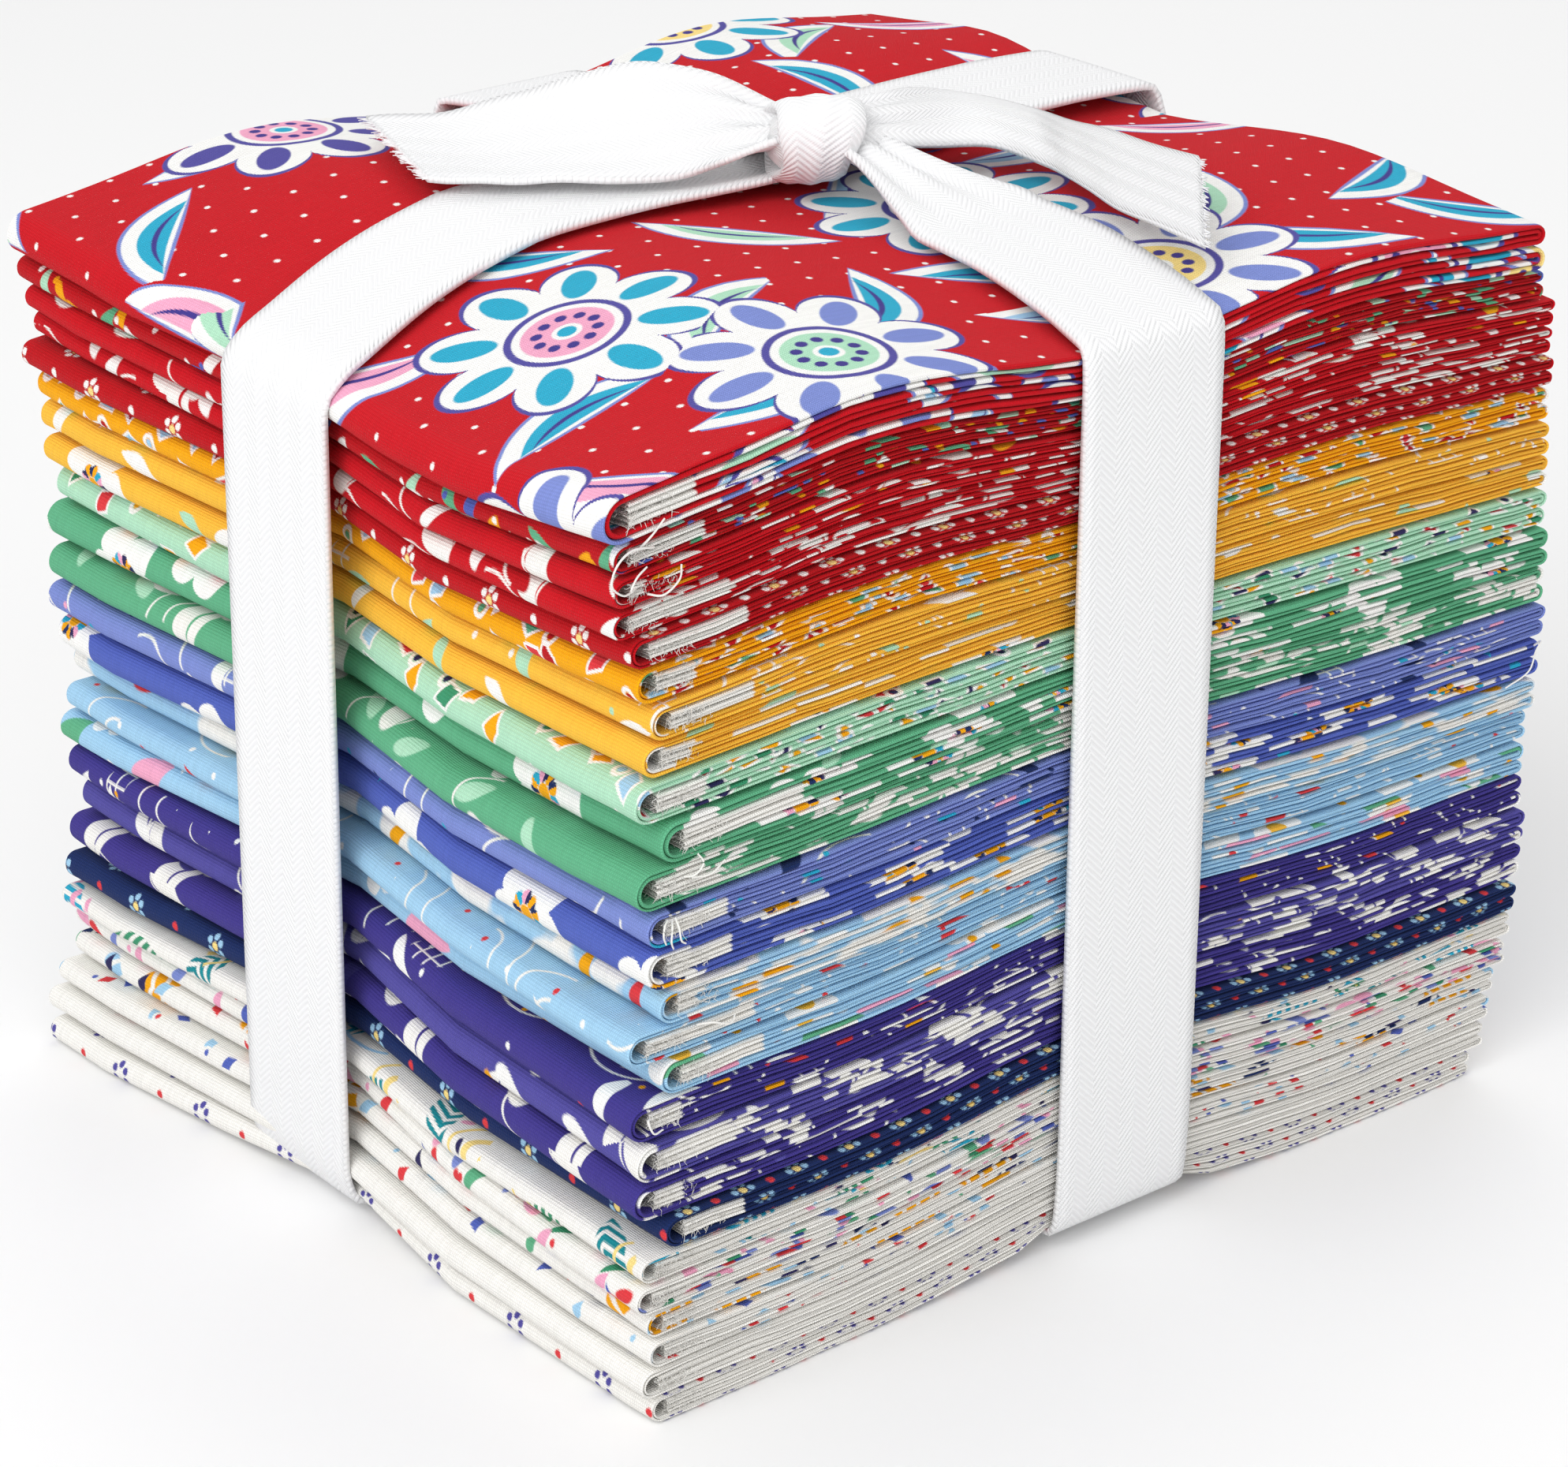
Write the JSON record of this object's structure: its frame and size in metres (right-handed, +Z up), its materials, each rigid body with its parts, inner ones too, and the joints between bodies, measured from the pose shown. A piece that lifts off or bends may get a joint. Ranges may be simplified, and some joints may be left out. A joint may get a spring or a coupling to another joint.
{
  "type": "fat quarter bundle",
  "caption": "Stack of folded printed quilting cottons in red, yellow, green, blue, purple and white, tied both ways like a parcel with white herringbone tape.",
  "frame": {"origin": "middle of the bundle's box, on the surface it rests on", "axes": "+Z up; +X along the packets' length, with the round left folds at -X; -Y is the front, where the folded edges show as thin ridges"},
  "size_m": [0.1412, 0.1224, 0.1251],
  "materials": {
    "cotton_red_floral": "matt plain-weave cotton, red ground with small white pin dots and large loose flowers and leaves in white, turquoise, purple and mint",
    "cotton_red_sprigs": "matt plain-weave quilting cotton, red sprigs print, weave shows close up",
    "cotton_red_petals": "matt plain-weave quilting cotton, red petals print, weave shows close up",
    "cotton_red_arcs": "matt plain-weave quilting cotton, red arcs print, weave shows close up",
    "cotton_red_dots": "matt plain-weave quilting cotton, red dots print, weave shows close up",
    "cotton_amber_gems": "matt plain-weave quilting cotton, amber gems print, weave shows close up",
    "cotton_yellow_arcs": "matt plain-weave quilting cotton, yellow arcs print, weave shows close up",
    "cotton_yellow_flowers": "matt plain-weave quilting cotton, yellow flowers print, weave shows close up",
    "cotton_mint_gems": "matt plain-weave quilting cotton, mint gems print, weave shows close up",
    "cotton_green_flowers": "matt plain-weave quilting cotton, green flowers print, weave shows close up",
    "cotton_green_petals": "matt plain-weave quilting cotton, green petals print, weave shows close up",
    "cotton_periwinkle_arcs": "matt plain-weave quilting cotton, periwinkle arcs print, weave shows close up",
    "cotton_blue_flowers": "matt plain-weave quilting cotton, blue flowers print, weave shows close up",
    "cotton_sky_shapes": "matt plain-weave quilting cotton, sky shapes print, weave shows close up",
    "cotton_sky_arcs": "matt plain-weave quilting cotton, sky arcs print, weave shows close up",
    "cotton_sky_flowers": "matt plain-weave quilting cotton, sky flowers print, weave shows close up",
    "cotton_purple_arcs": "matt plain-weave quilting cotton, purple arcs print, weave shows close up",
    "cotton_purple_petals": "matt plain-weave quilting cotton, purple petals print, weave shows close up",
    "cotton_purple_flowers": "matt plain-weave quilting cotton, purple flowers print, weave shows close up",
    "cotton_navy_dots": "matt plain-weave quilting cotton, navy dots print, weave shows close up",
    "cotton_white_leaves": "matt plain-weave quilting cotton, white leaves print, weave shows close up",
    "cotton_white_sprigs": "matt plain-weave quilting cotton, white sprigs print, weave shows close up",
    "cotton_white_blocks": "matt plain-weave quilting cotton, white blocks print, weave shows close up",
    "cotton_white_gems": "matt plain-weave quilting cotton, white gems print, weave shows close up",
    "cotton_white_plain": "matt plain-weave quilting cotton, white plain print, weave shows close up",
    "cotton_white_flowers": "matt plain-weave quilting cotton, white flowers print, weave shows close up",
    "cotton_tape": "matt white herringbone twill tape, plain, with frayed cut ends"
  },
  "bodies": {
    "root": {"row_01_red_floral": "cotton_red_floral", "row_02_red_sprigs": "cotton_red_sprigs", "row_03_red_petals": "cotton_red_petals", "row_04_red_arcs": "cotton_red_arcs", "row_05_red_dots": "cotton_red_dots", "row_06_amber_gems": "cotton_amber_gems", "row_07_yellow_arcs": "cotton_yellow_arcs", "row_08_yellow_flowers": "cotton_yellow_flowers", "row_09_mint_gems": "cotton_mint_gems", "row_10_green_flowers": "cotton_green_flowers", "row_11_green_petals": "cotton_green_petals", "row_12_periwinkle_arcs": "cotton_periwinkle_arcs", "row_13_blue_flowers": "cotton_blue_flowers", "row_14_sky_shapes": "cotton_sky_shapes", "row_15_sky_arcs": "cotton_sky_arcs", "row_16_sky_flowers": "cotton_sky_flowers", "row_17_purple_arcs": "cotton_purple_arcs", "row_18_purple_petals": "cotton_purple_petals", "row_19_purple_flowers": "cotton_purple_flowers", "row_20_navy_dots": "cotton_navy_dots", "row_21_white_leaves": "cotton_white_leaves", "row_22_white_sprigs": "cotton_white_sprigs", "row_23_white_blocks": "cotton_white_blocks", "row_24_white_gems": "cotton_white_gems", "row_25_white_plain": "cotton_white_plain", "row_26_white_flowers": "cotton_white_flowers", "tie_ribbon": "cotton_tape"}
  },
  "joints": []
}
